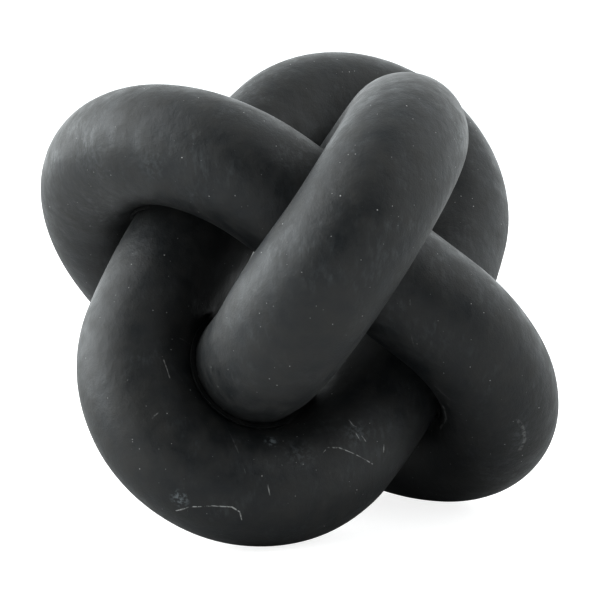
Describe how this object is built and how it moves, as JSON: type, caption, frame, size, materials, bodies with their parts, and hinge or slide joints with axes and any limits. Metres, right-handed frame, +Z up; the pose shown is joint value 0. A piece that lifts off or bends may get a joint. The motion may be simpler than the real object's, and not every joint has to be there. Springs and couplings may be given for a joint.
{
  "type": "metal knot sculpture",
  "caption": "Table ornament of closed rings of thick round tube, linked through one another and standing on ground flats.",
  "frame": {"origin": "middle of the footprint's box, on the surface that the sculpture stands on", "axes": "+Z up; +Y away from the viewer, along the longest side of the box; +X to the viewer's right, with the cross ring's length over the X axis"},
  "size_m": [0.164, 0.1876, 0.1474],
  "materials": {
    "black_paint": "matte"
  },
  "bodies": {
    "root": {"bar_ring_back_bend": "black_paint", "bar_ring_front_bend": "black_paint", "bar_ring_lower_leg": "black_paint", "bar_ring_upper_leg": "black_paint", "bar_ring_weld_back_lower": "black_paint", "bar_ring_weld_back_upper": "black_paint", "bar_ring_weld_front_lower": "black_paint", "bar_ring_weld_front_upper": "black_paint", "contact_weld_bar_back": "black_paint", "contact_weld_bar_front": "black_paint", "contact_weld_cross_left": "black_paint", "contact_weld_cross_right": "black_paint", "contact_weld_upright_lower": "black_paint", "contact_weld_upright_upper": "black_paint", "cross_ring_back_leg": "black_paint", "cross_ring_front_leg": "black_paint", "cross_ring_left_bend": "black_paint", "cross_ring_right_bend": "black_paint", "cross_ring_weld_left_back": "black_paint", "cross_ring_weld_left_front": "black_paint", "cross_ring_weld_right_back": "black_paint", "cross_ring_weld_right_front": "black_paint", "upright_ring_left_leg": "black_paint", "upright_ring_lower_bend": "black_paint", "upright_ring_right_leg": "black_paint", "upright_ring_upper_bend": "black_paint", "upright_ring_weld_lower_left": "black_paint", "upright_ring_weld_lower_right": "black_paint", "upright_ring_weld_upper_left": "black_paint", "upright_ring_weld_upper_right": "black_paint"}
  },
  "joints": []
}
